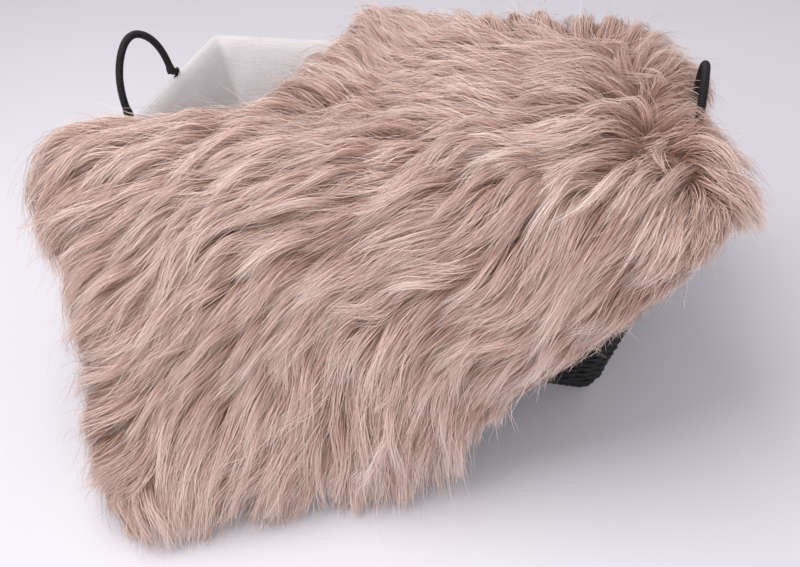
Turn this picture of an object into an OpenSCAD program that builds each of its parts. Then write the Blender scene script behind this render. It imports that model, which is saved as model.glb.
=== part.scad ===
// Posing basket: a tapered cord-woven basket on a wire frame, with a linen liner, a filled cushion,
// two swinging loop handles and a long-pile throw that lies over the top and hangs down the front.
// Millimetres, +Z up, +X along the basket, -Y towards the draped front. The origin is the centre of
// the basket's underside.

/* [Basket] */
// Outside length at the rim
basket_l = 516; // [480:4:560]
// Outside width at the rim
basket_w = 300; // [280:4:330]
// Height up to the top of the rolled rim
basket_h = 234; // [222:2:240]
// How much narrower each side is at the floor
taper = 60; // [50:1:64]
// Thickness of the woven sides
weave_t = 5; // [4:0.5:6]
// Diameter of the frame wire in the rim
rim_wire_d = 4; // [3:0.5:5]
// Diameter of the rolled rim
rim_d = 8; // [7:0.5:10]
// Diameter of the rolled foot
foot_d = 10; // [9:1:12]
// Number of uprights along a long side
long_uprights = 7; // [3:1:9]
// Number of uprights along a short side
short_uprights = 3; // [1:1:4]

/* [Handles] */
// Distance between the two legs of a loop, centre to centre
loop_w = 93; // [88:1:96]
// Radius of the bend at each shoulder of a loop
side_r = 54; // [50:1:60]
// Radius of the bend at the top of a loop
top_r = 36; // [30:1:40]
// How far the middle of each loop is from the middle of its side, towards the back
loop_y = -4; // [-6:1:0]
// Diameter of the wire core
core_d = 4; // [3.5:0.25:4.5]
// Diameter over the cord wrapping
wrap_d = 7.6; // [7:0.1:8]
// Outward lean of the left loop as it stands, in degrees
left_lean = 9; // [0:1:12]
// Outward lean of the right loop as it stands, in degrees
right_lean = 3; // [0:1:12]

/* [Soft parts] */
// Thickness of the linen
linen_t = 1.2; // [0.8:0.1:1.4]
// Depth of the linen cuff below the rim
cuff_drop = 52; // [40:2:60]
// Thickness of the throw's knitted backing
backing_t = 2.4; // [2:0.2:3]
// Depth of the pile as it lies on the backing
pile_h = 27; // [20:1:30]

/* [Hidden] */

$fn = 48;
gap = 0.3;                       // clearance between neighbouring pieces
corner_r = 12;                   // plan radius of the basket's corners
base_t = 5;                      // thickness of the base panel
upright_d = 3;
post_d = 13;                     // diameter of a woven corner
rim_z = basket_h - rim_d / 2;    // height of the rim's centre line
wall_z0 = foot_d + gap;
wall_z1 = basket_h - rim_d - gap;
lining_gap = foot_d + 2.8;                    // from the outside of the weave to the linen
eye_d = 7.4;
eye_l = 6;
hinge_z = basket_h + eye_d / 2 + 1.2;         // the loops turn about this height
eye_y = loop_w / 2 + wrap_d / 2 + 1 + eye_l / 2;
slit_y = (loop_w / 2 + eye_y) / 2;            // from the middle of a loop to each slit of the cuff
slit_w = 21;
slit_h = 16;

// Half length and half width of the outside of the basket at height z
function half_l(z) = basket_l / 2 - taper * (1 - z / basket_h);
function half_w(z) = basket_w / 2 - taper * (1 - z / basket_h);
hinge_x = half_l(basket_h) - 1;

// ---------------------------------------------------------------- shared shapes

// Faces of a solid with four points round its bottom and four round its top
BLOCK = [[0, 3, 2, 1], [4, 5, 6, 7], [0, 1, 5, 4], [1, 2, 6, 5], [2, 3, 7, 6], [3, 0, 4, 7]];

// Rectangle with round corners, from exact pieces
module round_rect(hl, hw, r) {
    square([2 * hl, 2 * (hw - r)], center = true);
    square([2 * (hl - r), 2 * hw], center = true);
    for (sx = [-1, 1], sy = [-1, 1]) translate([sx * (hl - r), sy * (hw - r)]) circle(r);
}

// Round bar of diameter d bent into a rectangle whose centre line has half sizes hl and hw
module bar_ring(hl, hw, r, d, z) {
    translate([0, 0, z]) {
        for (s = [-1, 1]) {
            translate([r - hl, s * hw, 0]) rotate([0, 90, 0]) cylinder(d = d, h = 2 * (hl - r));
            translate([s * hl, r - hw, 0]) rotate([-90, 0, 0]) cylinder(d = d, h = 2 * (hw - r));
        }
        for (q = [0 : 3]) {
            sx = (q == 0 || q == 3) ? 1 : -1;
            sy = q < 2 ? 1 : -1;
            translate([sx * (hl - r), sy * (hw - r), 0]) rotate([0, 0, 90 * q])
                rotate_extrude(angle = 90) translate([r, 0]) circle(d = d);
        }
    }
}

// Tapered block with round corners that follows the basket's slope, set in by inset
module tapered(z0, z1, inset, r) {
    hull() for (z = [z0, z1])
        translate([0, 0, z == z0 ? z0 : z1 - 0.01]) linear_extrude(0.01)
            round_rect(half_l(z) - inset, half_w(z) - inset, r, $fn = 32);
}

// Flat woven panel between two corner posts. side_l(z) and side_y(z) are along and across it.
module panel(along_x) {
    trim = post_d + 1.6;
    function a(z) = (along_x ? half_l(z) : half_w(z)) - trim;
    function o(z) = along_x ? half_w(z) : half_l(z);
    pts = [for (z = [wall_z0, wall_z1], p = [[-1, 0], [1, 0], [1, 1], [-1, 1]])
        [p[0] * a(z), o(z) - p[1] * weave_t, z]];
    polyhedron(pts, BLOCK);
}

// Bar of diameter d from point a to point b
module bar(a, b, d) {
    v = b - a;
    translate(a) rotate([0, acos(v[2] / norm(v)), atan2(v[1], v[0])]) cylinder(d = d, h = norm(v));
}

// ---------------------------------------------------------------- basket

module base_panel() {
    color("#141213") linear_extrude(base_t)
        round_rect(half_l(0) - foot_d - gap, half_w(0) - foot_d - gap, corner_r - foot_d / 2);
}

module foot_border() {
    color("#0e0d0e") bar_ring(half_l(0) - foot_d / 2, half_w(0) - foot_d / 2, corner_r, foot_d, foot_d / 2);
}

module corner_posts() {
    inset = post_d / 2 + 0.9;
    color("#0e0d0e") for (sx = [-1, 1], sy = [-1, 1])
        hull() for (z = [wall_z0, wall_z1 - 0.01])
            translate([sx * (half_l(z) - inset), sy * (half_w(z) - inset), z]) cylinder(d = post_d, h = 0.01, $fn = 24);
}

module uprights() {
    z0 = wall_z0 + 2;
    z1 = wall_z1 - 2;
    inset = weave_t + upright_d / 2 + gap;
    color("#191718") {
        for (i = [1 : long_uprights], s = [-1, 1]) {
            f = 2 * i / (long_uprights + 1) - 1;
            bar([f * (half_l(z0) - 24), s * (half_w(z0) - inset), z0],
                [f * (half_l(z1) - 24), s * (half_w(z1) - inset), z1], upright_d);
        }
        for (i = [1 : short_uprights], s = [-1, 1]) {
            f = 2 * i / (short_uprights + 1) - 1;
            bar([s * (half_l(z0) - inset), f * (half_w(z0) - 24), z0],
                [s * (half_l(z1) - inset), f * (half_w(z1) - 24), z1], upright_d);
        }
    }
}

module front_weave() { color("#141213") rotate([0, 0, 180]) panel(true); }
module back_weave() { color("#141213") panel(true); }
module left_weave() { color("#141213") rotate([0, 0, 90]) panel(false); }
module right_weave() { color("#141213") rotate([0, 0, -90]) panel(false); }

module rim_bar(d) {
    bar_ring(half_l(rim_z) - rim_d / 2 + 1, half_w(rim_z) - rim_d / 2 + 1, corner_r, d, rim_z);
}
module rim_wire() { color("#3a3839") rim_bar(rim_wire_d); }
module rim_border() {
    color("#0e0d0e") difference() { rim_bar(rim_d); rim_bar(rim_wire_d + 2 * 0.1); }
}

// Two short bushes that stand on the rim and carry the ends of one loop
module handle_eyes(side) {
    color("#141213") for (s = [-1, 1]) translate([side * hinge_x, loop_y + s * eye_y, hinge_z])
        difference() {
            union() {
                rotate([90, 0, 0]) cylinder(d = eye_d, h = eye_l, center = true);
                translate([0, 0, -(eye_d / 2 + 0.5) / 2 - 0.25])
                    cube([4, eye_l, eye_d / 2 + 0.5], center = true);
            }
            rotate([90, 0, 0]) cylinder(d = core_d + 0.12, h = eye_l + 2, center = true);
        }
}
module left_handle_eyes() { handle_eyes(-1); }
module right_handle_eyes() { handle_eyes(1); }

// ---------------------------------------------------------------- handles

// A loop is an arch with three centres: straight legs, a wide bend at each shoulder and a tighter one at the top
loop_r = loop_w / 2;
leg_h = 8;
foot_r = 3;                                               // the wire turns outwards at each foot with this radius
pin_l = wrap_d / 2 + 1 + eye_l + 1.5;
shoulder = acos((side_r - loop_r) / (side_r - top_r));
crown_h = leg_h + (side_r - top_r) * sin(shoulder);       // height of the top bend's centre
bar_sides = 20;

// Half of the arch's centre line, from the top down to height z0 of one leg. Each point is
// [y, z, direction of the arch's outer side].
function half_arch(z0) = concat(
    [for (a = [90 : (shoulder - 90) / 5 : shoulder + 1]) [top_r * cos(a), crown_h + top_r * sin(a), a]],
    [for (a = [shoulder : -shoulder / 10 : 1])
        [loop_r - side_r + side_r * cos(a), leg_h + side_r * sin(a), a]],
    [[loop_r, leg_h, 0], [loop_r, z0, 0]]);

// The bend at a foot and the pin beyond it
pin_line = concat(
    [for (a = [22.5 : 22.5 : 90]) [loop_r + foot_r * (1 - cos(a)), foot_r * (1 - sin(a)), a]],
    [[loop_r + pin_l, 0, 90]]);

function mirrored(half) = [for (i = [len(half) - 1 : -1 : 1]) [-half[i][0], half[i][1], 180 - half[i][2]]];

function ring(point, r) = [for (k = [0 : bar_sides - 1]) let (turn = k * 360 / bar_sides, out = r * cos(turn))
    [r * sin(turn), point[0] + out * cos(point[2]), point[1] + out * sin(point[2])]];

// Four-sided faces from ring i of a swept bar to ring j
function sleeve(i, j) = [for (k = [0 : bar_sides - 1]) let (next = (k + 1) % bar_sides)
    [i * bar_sides + k, j * bar_sides + k, j * bar_sides + next, i * bar_sides + next]];

// Solid bar of diameter d along the half line and its mirror image
module swept_bar(half, d) {
    line = concat(mirrored(half), half);
    last = len(line) - 1;
    polyhedron([for (p = line) each ring(p, d / 2)], concat(
        [[for (k = [0 : bar_sides - 1]) k]],
        [for (i = [1 : last]) each sleeve(i - 1, i)],
        [[for (k = [bar_sides - 1 : -1 : 0]) last * bar_sides + k]]));
}

// The same as a sleeve with a bore, open at both ends
module swept_tube(half, d, bore) {
    line = concat(mirrored(half), half);
    rings = [for (p = line) [p, d / 2], for (i = [len(line) - 1 : -1 : 0]) [line[i], bore / 2]];
    polyhedron([for (r = rings) each ring(r[0], r[1])],
        [for (i = [0 : len(rings) - 1]) each sleeve(i, (i + 1) % len(rings))]);
}

module at_hinge(side, lean) {
    translate([side * hinge_x, loop_y, hinge_z]) rotate([0, side * lean, 0]) children();
}

module handle_wire(side, lean) {
    color("#3a3839") at_hinge(side, lean) swept_bar(concat(half_arch(foot_r), pin_line), core_d);
}

module handle_wrap(side, lean) {
    color("#0b0a0b") at_hinge(side, lean) swept_tube(half_arch(7), wrap_d, core_d + 0.2);
}

// Tight whipping that closes the wrapping at the foot of each leg
module handle_bindings(side, lean) {
    color("#0b0a0b") at_hinge(side, lean) for (s = [-1, 1]) translate([0, s * loop_r, 3])
        difference() { cylinder(d = wrap_d, h = 3.8); translate([0, 0, -1]) cylinder(d = core_d + 0.2, h = 6); }
}

module left_handle_wire() { handle_wire(-1, left_lean); }
module left_handle_wrap() { handle_wrap(-1, left_lean); }
module left_handle_bindings() { handle_bindings(-1, left_lean); }
module right_handle_wire() { handle_wire(1, right_lean); }
module right_handle_wrap() { handle_wrap(1, right_lean); }
module right_handle_bindings() { handle_bindings(1, right_lean); }

// ---------------------------------------------------------------- linen liner and padding

liner_z0 = base_t + 1;
liner_r = 8;
liner_corner = 6;                              // how far the corner strips cut the liner's corners
cuff_z1 = basket_h + gap + linen_t;
cuff_z0 = basket_h - cuff_drop;
cuff_out = 3;                                  // the cuff hangs this far outside the weave's slope

// Along the liner and across it at height z, at depth d into the linen, where the corner strips start
liner_wall_z0 = liner_z0 + linen_t + gap;
mitre = tan(22.5);
function liner_l(z, d) = half_l(z) - lining_gap - d;
function liner_w(z, d) = half_w(z) - lining_gap - d;
function liner_end(d) = liner_corner + (mitre - 1) * d;

// One side of the liner: a flat piece of linen between two corner strips
module liner_panel(along_x) {
    pts = [for (z = [liner_wall_z0, basket_h], p = [[-1, 0], [1, 0], [1, linen_t], [-1, linen_t]])
        let (a = along_x ? liner_l(z, p[1]) : liner_w(z, p[1]), o = along_x ? liner_w(z, p[1]) : liner_l(z, p[1]))
        [p[0] * (a - liner_end(p[1])), o, z]];
    color("#d6d0d0") polyhedron(pts, BLOCK);
}
module liner_front() { rotate([0, 0, 180]) liner_panel(true); }
module liner_back() { liner_panel(true); }
module liner_left() { rotate([0, 0, 90]) liner_panel(false); }
module liner_right() { rotate([0, 0, -90]) liner_panel(false); }

// The seamed corners: strips that join neighbouring sides
module liner_corners() {
    function ring(z) = [for (p = [[1, 0, 0], [0, 1, 0], [0, 1, linen_t], [1, 0, linen_t]])
        [liner_l(z, p[2]) - p[0] * liner_end(p[2]), liner_w(z, p[2]) - p[1] * liner_end(p[2])]];
    color("#d6d0d0") for (sx = [-1, 1], sy = [-1, 1])
        polyhedron([for (z = [liner_wall_z0, basket_h], i = [0 : 3])
            let (p = ring(z)[sx * sy > 0 ? i : 3 - i]) [sx * p[0], sy * p[1], z]], BLOCK);
}

module liner_floor() {
    color("#d6d0d0") translate([0, 0, liner_z0]) linear_extrude(linen_t)
        round_rect(half_l(0) - lining_gap - 2, half_w(0) - lining_gap - 2, liner_r);
}

module slit_boxes() {
    for (sx = [-1, 1], sy = [-1, 1])
        translate([sx * half_l(basket_h) - 20, loop_y + sy * slit_y - slit_w / 2, basket_h - slit_h])
            cube([40, slit_w, slit_h + 10]);
}

// The cuff is the skirt outside the rim with the band over the top of it, slit at each handle leg
module liner_cuff() {
    color("#d6d0d0") difference() {
        tapered(cuff_z0 + 12, cuff_z1, -cuff_out - linen_t, corner_r + cuff_out);
        tapered(cuff_z0 + 11, basket_h + gap, -cuff_out, corner_r + cuff_out - linen_t);
        tapered(cuff_z0, cuff_z1 + 3, lining_gap + linen_t, liner_r);
        slit_boxes();
    }
}

// Doubled and stitched lower edge of the cuff
module liner_hem() {
    color("#cfc8c8") difference() {
        tapered(cuff_z0, cuff_z0 + 12 - gap, -cuff_out - 1.6 * linen_t, corner_r + cuff_out);
        tapered(cuff_z0 - 1, cuff_z0 + 13, -cuff_out, corner_r + cuff_out - 1.6 * linen_t);
    }
}

// Narrow bound edges down both sides of each slit
module slit_bindings() {
    color("#cfc8c8") for (sx = [-1, 1], sy = [-1, 1], e = [-1, 1]) {
        z0 = basket_h - slit_h + 2;
        z1 = basket_h - 2;
        y = loop_y + sy * slit_y + e * (slit_w / 2 - 1.2);
        bar([sx * (half_l(z0) + cuff_out + linen_t), y, z0], [sx * (half_l(z1) + cuff_out + linen_t), y, z1], 1.8);
    }
}

// Filled cushion that holds the throw up inside the basket, domed towards the right
module padding() {
    color("#e6e1df") hull() {
        translate([10, 0, liner_z0 + linen_t + 1]) linear_extrude(1) round_rect(170, 74, 30, $fn = 32);
        translate([45, 0, 110]) linear_extrude(1) round_rect(160, 96, 45, $fn = 32);
        translate([56, 0, 198]) linear_extrude(1) round_rect(172, 118, 60, $fn = 32);
        translate([105, -8, 236]) linear_extrude(1) round_rect(62, 56, 50, $fn = 32);
    }
}

// ---------------------------------------------------------------- throw

ry = half_w(basket_h);
top = cuff_z1 + 3;                 // height of the backing where it crosses the rim

// Rows run from the back hem to the front hem, and each row from the left edge to the right edge
cage = [
    // back hem
    [[-78, ry + 24, 220], [-66, ry + 28, 214], [-36, ry + 32, 208], [4, ry + 34, 205], [56, ry + 34, 204],
     [104, ry + 33, 205], [142, ry + 30, 208], [168, ry + 25, 214], [182, ry + 20, 221]],
    // back rim
    [[-88, ry + 6, top + 2], [-72, ry + 7, top + 2], [-38, ry + 8, top + 2], [6, ry + 8, top + 3],
     [58, ry + 8, top + 4], [108, ry + 8, top + 4], [152, ry + 8, top + 3], [186, ry + 7, top + 3],
     [206, ry + 5, top + 2]],
    [[-98, 72, 229], [-82, 79, 233], [-52, 86, 238], [-10, 91, 240], [48, 93, 248],
     [106, 93, 252], [162, 91, 250], [214, 86, 247], [241, 80, 244]],
    [[-128, 0, 230], [-112, 4, 232], [-84, 9, 231], [-54, 14, 225], [34, 18, 246],
     [112, 18, 257], [176, 17, 256], [224, 15, 252], [243, 12, 249]],
    [[-178, -64, 238], [-162, -63, 240], [-118, -61, 236], [-46, -58, 222], [45, -54, 246],
     [120, -54, 259], [182, -52, 259], [225, -51, 258], [244, -49, 255]],
    // beside the front legs of the two loops
    [[-266, -76, top + 5], [-238, -76, top + 5], [-158, -75, 242], [-54, -76, 229], [42, -74, 249],
     [122, -74, 260], [186, -75, 260], [240, -77, 260], [272, -76, 256]],
    [[-290, -94, 208], [-268, -92, top + 1], [-168, -91, 245], [-60, -92, 239], [40, -92, 251],
     [124, -92, 259], [196, -92, 257], [267, -92, 252], [293, -82, 238]],
    [[-290, -128, 198], [-272, -122, top - 1], [-175, -120, 248], [-66, -120, 246], [34, -118, 252],
     [124, -118, 257], [202, -118, 252], [268, -117, 245], [294, -104, 232]],
    // front rim
    [[-270, -174, 186], [-266, -163, 232], [-180, -ry - 8, top + 4], [-76, -ry - 8, top + 5], [25, -ry - 8, top + 6],
     [118, -ry - 8, top + 7], [202, -ry - 8, top + 4], [262, -ry - 7, top - 2], [280, -132, 222]],
    // down the front
    [[-224, -216, 156], [-226, -203, 192], [-178, -194, 209], [-90, -188, 210], [8, -185, 210],
     [104, -182, 210], [190, -178, 210], [240, -170, 210], [258, -151, 199]],
    [[-206, -256, 110], [-202, -245, 142], [-160, -231, 156], [-92, -219, 158], [-8, -210, 160],
     [78, -201, 163], [156, -191, 168], [208, -177, 174], [234, -154, 166]],
    [[-192, -298, 62], [-182, -289, 84], [-148, -273, 92], [-96, -254, 98], [-24, -239, 103],
     [50, -224, 110], [118, -208, 119], [162, -192, 129], [190, -169, 130]],
    // front hem
    [[-174, -336, 14], [-160, -331, 21], [-128, -316, 28], [-86, -294, 36], [-26, -268, 44],
     [34, -245, 54], [86, -222, 68], [122, -205, 84], [146, -188, 100]]
];

across = 26;                       // facets from edge to edge
down = 40;                         // facets from hem to hem

function spline(a, b, c, d, f) = 0.5 * (2 * b + (c - a) * f + (2 * a - 5 * b + 4 * c - d) * f * f
    + (3 * b - a - 3 * c + d) * f * f * f);
function reach(list, i) = i < 0 ? 2 * list[0] - list[1]
    : i >= len(list) ? 2 * list[len(list) - 1] - list[len(list) - 2] : list[i];
function along(list, u) = let (n = len(list) - 1, i = min(floor(u * n), n - 1), f = u * n - i)
    spline(reach(list, i - 1), reach(list, i), reach(list, i + 1), reach(list, i + 2), f);

columns = [for (i = [0 : across]) [for (row = cage) along(row, i / across)]];
skin = [for (i = [0 : across]) [for (j = [0 : down]) along(columns[i], j / down)]];

function unit(v) = v / norm(v);
function skin_normal(i, j) = unit(cross(
    skin[i][min(j + 1, down)] - skin[i][max(j - 1, 0)],
    skin[min(i + 1, across)][j] - skin[max(i - 1, 0)][j]));
normals = [for (i = [0 : across]) [for (j = [0 : down]) skin_normal(i, j)]];

// Share of the pile's full depth at a grid point: it thins towards every edge
function edge_share(k, n) = min(1, 0.35 + 0.65 * min(k, n - k) / 4);
function pile_share(i, j) = edge_share(i, across) * edge_share(j, down) * min(1, 0.3 + 0.7 * (across - i) / 9);

// Closed shell between two offsets of the skin
module shell(low, high, share) {
    n = down + 1;
    count = (across + 1) * n;
    lower = [for (i = [0 : across]) for (j = [0 : down]) skin[i][j] + low * normals[i][j]];
    upper = [for (i = [0 : across]) for (j = [0 : down])
        skin[i][j] + (low + (high - low) * (share ? pile_share(i, j) : 1)) * normals[i][j]];
    function id(i, j, side) = side * count + i * n + j;
    faces = concat(
        [for (i = [0 : across - 1], j = [0 : down - 1], h = [0, 1]) h == 0
            ? [id(i, j, 0), id(i, j + 1, 0), id(i + 1, j, 0)]
            : [id(i + 1, j, 0), id(i, j + 1, 0), id(i + 1, j + 1, 0)]],
        [for (i = [0 : across - 1], j = [0 : down - 1], h = [0, 1]) h == 0
            ? [id(i, j, 1), id(i + 1, j, 1), id(i, j + 1, 1)]
            : [id(i + 1, j, 1), id(i + 1, j + 1, 1), id(i, j + 1, 1)]],
        [for (i = [0 : across - 1], h = [0, 1]) h == 0
            ? [id(i, 0, 0), id(i + 1, 0, 0), id(i, 0, 1)] : [id(i + 1, 0, 0), id(i + 1, 0, 1), id(i, 0, 1)]],
        [for (i = [0 : across - 1], h = [0, 1]) h == 0
            ? [id(i + 1, down, 0), id(i, down, 0), id(i, down, 1)]
            : [id(i + 1, down, 0), id(i, down, 1), id(i + 1, down, 1)]],
        [for (j = [0 : down - 1], h = [0, 1]) h == 0
            ? [id(0, j + 1, 0), id(0, j, 0), id(0, j, 1)] : [id(0, j + 1, 0), id(0, j, 1), id(0, j + 1, 1)]],
        [for (j = [0 : down - 1], h = [0, 1]) h == 0
            ? [id(across, j, 0), id(across, j + 1, 0), id(across, j, 1)]
            : [id(across, j + 1, 0), id(across, j + 1, 1), id(across, j, 1)]]);
    polyhedron(concat(lower, upper), faces);
}

module throw_backing() { color("#c9b7ab") shell(-backing_t / 2, backing_t / 2, false); }
module throw_pile() { color("#bd9f94") shell(backing_t / 2 + gap, pile_h, true); }

base_panel();
foot_border();
corner_posts();
uprights();
front_weave();
back_weave();
left_weave();
right_weave();
rim_wire();
rim_border();
left_handle_eyes();
right_handle_eyes();
liner_front();
liner_back();
liner_left();
liner_right();
liner_corners();
liner_floor();
liner_cuff();
liner_hem();
slit_bindings();
padding();
left_handle_wire();
left_handle_wrap();
left_handle_bindings();
right_handle_wire();
right_handle_wrap();
right_handle_bindings();
throw_backing();
throw_pile();
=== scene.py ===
"""Looks of the posing basket with its long-pile throw.

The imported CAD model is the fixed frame, in metres. Each piece here is grown from a CAD node or from a size
that part.scad names: first the stage and materials, then the basket, handles, liner and cushion, and last
the throw.
"""
import itertools
import math

import bmesh
import bpy
import numpy as np
from mathutils import Matrix, Vector, noise
from mathutils.bvhtree import BVHTree


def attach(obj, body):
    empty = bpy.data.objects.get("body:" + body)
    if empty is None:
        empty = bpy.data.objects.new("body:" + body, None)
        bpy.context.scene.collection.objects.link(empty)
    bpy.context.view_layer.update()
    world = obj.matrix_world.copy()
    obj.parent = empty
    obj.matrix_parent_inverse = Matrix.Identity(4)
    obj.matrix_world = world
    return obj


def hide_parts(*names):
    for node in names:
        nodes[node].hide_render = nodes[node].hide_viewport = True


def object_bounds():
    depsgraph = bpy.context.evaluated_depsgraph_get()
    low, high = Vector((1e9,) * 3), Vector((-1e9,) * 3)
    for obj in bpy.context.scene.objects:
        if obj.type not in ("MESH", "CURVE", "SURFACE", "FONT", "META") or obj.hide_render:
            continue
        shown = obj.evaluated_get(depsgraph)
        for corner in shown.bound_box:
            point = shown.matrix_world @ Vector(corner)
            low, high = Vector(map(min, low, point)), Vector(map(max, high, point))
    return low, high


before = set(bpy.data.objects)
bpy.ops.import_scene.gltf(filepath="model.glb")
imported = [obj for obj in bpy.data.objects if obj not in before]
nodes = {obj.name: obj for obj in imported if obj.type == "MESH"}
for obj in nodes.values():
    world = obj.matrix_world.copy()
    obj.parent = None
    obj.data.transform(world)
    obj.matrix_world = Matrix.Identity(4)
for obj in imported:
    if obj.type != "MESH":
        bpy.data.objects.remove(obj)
cad_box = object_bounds()
MM = 0.001

# Driving sizes of the CAD model, in metres
RIM_L, RIM_W, RIM_H = 0.516, 0.300, 0.234    # outside of the basket at the rim, and its height
TAPER = 0.060                 # how much narrower each side is at the floor
RIM_R = 0.004                 # radius of the rolled rim
FOOT_R = 0.005                # radius of the rolled foot
CORNER_R = 0.012              # plan radius of the basket's corners
LINING_GAP = 0.0128           # from the outside of the weave to the linen
CUFF_DROP = 0.052             # depth of the linen cuff below the rim
LOOP_R = 0.0465               # half the distance between a loop's legs
SIDE_R, TOP_R = 0.054, 0.036  # radii of a loop's shoulders and of its top
LEG_H = 0.008                 # straight part of each leg of a loop
LOOP_Y = -0.004               # where the middle of each loop is along its side
WRAP_R = 0.0038               # radius over the cord wrapping
EYE_R, EYE_L = 0.0037, 0.006  # radius and length of the bushes that hold a loop
EYE_Y = LOOP_R + WRAP_R + 0.001 + EYE_L / 2    # from the middle of a loop to each of its bushes
HINGE_X = RIM_L / 2 - 0.001
HINGE_Z = RIM_H + EYE_R + 0.0012
LEAN = {-1: math.radians(9), 1: math.radians(3)}    # outward lean of the left and right loops at rest
SIDES = (("left", -1), ("right", 1))
TURN = 2 * math.pi


# ---- stage, lights and camera

def add_light(name, size, power, place, target, colour=(1, 1, 1)):
    """A square soft light of that size, at place, that faces target."""
    data = bpy.data.lights.new(name, "AREA")
    data.energy = power
    data.size = size
    data.color = colour
    lamp = bpy.data.objects.new(name, data)
    bpy.context.collection.objects.link(lamp)
    lamp.location = place
    lamp.rotation_euler = (Vector(place) - Vector(target)).to_track_quat("Z", "Y").to_euler()


def add_camera(place, heading, pitch, roll, lens):
    """A camera at place that looks along +Y, turned left by heading, down by pitch and then rolled."""
    data = bpy.data.cameras.new("camera")
    data.lens = lens
    data.clip_start = 0.02
    camera = bpy.data.objects.new("camera", data)
    bpy.context.collection.objects.link(camera)
    turn = Matrix.Rotation(heading, 4, "Z") @ Matrix.Rotation(math.pi / 2 - pitch, 4, "X")
    camera.matrix_world = Matrix.Translation(place) @ turn @ Matrix.Rotation(-roll, 4, "Z")
    bpy.context.scene.camera = camera


def set_world(colour, strength):
    world = bpy.data.worlds.new("studio")
    world.use_nodes = True
    background = world.node_tree.nodes["Background"]
    background.inputs["Color"].default_value = (*colour, 1)
    background.inputs["Strength"].default_value = strength
    bpy.context.scene.world = world


# ---- materials

class Paint:
    """A Principled material under construction."""

    def __init__(self, name, **constants):
        self.material = bpy.data.materials.new(name)
        self.material.use_nodes = True
        self.tree = self.material.node_tree
        self.shader = self.tree.nodes["Principled BSDF"]
        for key, value in constants.items():
            self.shader.inputs[key.replace("_", " ")].default_value = value

    def node(self, kind, inputs=None, **settings):
        """Adds a node. inputs maps a socket's name or number to a value or to another node's output."""
        node = self.tree.nodes.new("ShaderNode" + kind)
        for key, value in settings.items():
            setattr(node, key, value)
        for key, value in (inputs or {}).items():
            if isinstance(value, bpy.types.NodeSocket):
                self.tree.links.new(value, node.inputs[key])
            else:
                node.inputs[key].default_value = value
        return node

    def place(self, scale=(1, 1, 1)):
        """Object coordinates, in metres, stretched by scale."""
        coordinates = self.node("TexCoord").outputs["Object"]
        return self.node("Mapping", {"Vector": coordinates, "Scale": scale}).outputs[0]

    def noise(self, scale, detail=3, where=None, roughness=0.5):
        where = where or self.place()
        return self.node("TexNoise", {"Vector": where, "Scale": scale, "Detail": detail,
                                      "Roughness": roughness}).outputs["Fac"]

    def ramp(self, value, *stops):
        """A colour ramp: each stop is (position, linear colour or grey)."""
        node = self.node("ValToRGB", {0: value})
        elements = node.color_ramp.elements
        while len(elements) < len(stops):
            elements.new(0.5)
        for element, (position, colour) in zip(elements, stops):
            element.position = position
            element.color = (*colour, 1) if isinstance(colour, tuple) else (colour, colour, colour, 1)
        return node.outputs["Color"]

    def mix(self, factor, a, b, blend="MIX"):
        """From colour a to colour b by factor. Each is a colour or another node's output."""
        a, b = ((*colour, 1) if isinstance(colour, tuple) else colour for colour in (a, b))
        return self.node("Mix", {0: factor, 6: a, 7: b}, data_type="RGBA", blend_type=blend).outputs[2]

    def math(self, operation, a, b=0.0):
        return self.node("Math", {0: a, 1: b}, operation=operation).outputs[0]

    def colour(self, socket):
        self.tree.links.new(socket, self.shader.inputs["Base Color"])

    def rough(self, value, low, high):
        """Roughness from low to high as value goes from 0 to 1."""
        node = self.node("MapRange", {"Value": value, "To Min": low, "To Max": high})
        self.tree.links.new(node.outputs[0], self.shader.inputs["Roughness"])

    def bump(self, height, distance, strength=1.0):
        node = self.node("Bump", {"Height": height, "Distance": distance, "Strength": strength})
        self.tree.links.new(node.outputs[0], self.shader.inputs["Normal"])


def mottled(name, grain_scale, detail, dark, light, rough, bump=0.0, stretch=(1, 1, 1), **constants):
    """A material whose colour, roughness and bump all follow one grain. dark and light are a ramp's stops."""
    paint = Paint(name, **constants)
    grain = paint.noise(grain_scale, detail, paint.place(stretch))
    paint.colour(paint.ramp(grain, dark, light))
    paint.rough(grain, *rough)
    if bump:
        paint.bump(grain, bump)
    return paint.material


def black_cord():
    """Twisted paper cord, dyed black: fine fibres along and across it, slightly dusty."""
    paint = Paint("black_cord", Specular_IOR_Level=0.35)
    fibre = paint.noise(900, 4, paint.place((1, 1, 0.35)))
    dust = paint.noise(60, 3)
    dark = paint.ramp(fibre, (0.25, (0.006, 0.0055, 0.006)), (0.75, (0.022, 0.020, 0.022)))
    paint.colour(paint.mix(paint.ramp(dust, (0.5, 0.0), (0.9, 0.35)), dark, (0.035, 0.032, 0.034)))
    paint.rough(fibre, 0.42, 0.72)
    paint.bump(fibre, 0.25 * MM)
    return paint.material


def black_wire():
    """Black enamelled steel wire, dulled a little by handling."""
    return mottled("black_wire", 350, 5, (0.35, (0.012, 0.012, 0.013)), (0.8, (0.03, 0.029, 0.03)),
                   (0.25, 0.5), 0.05 * MM, Specular_IOR_Level=0.6)


def black_board():
    """Stained board under the basket, with its grain along X."""
    return mottled("black_board", 60, 5, (0.3, (0.010, 0.009, 0.009)), (0.75, (0.028, 0.024, 0.022)),
                   (0.55, 0.8), 0.4 * MM, (0.25, 3, 3), Specular_IOR_Level=0.3)


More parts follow.
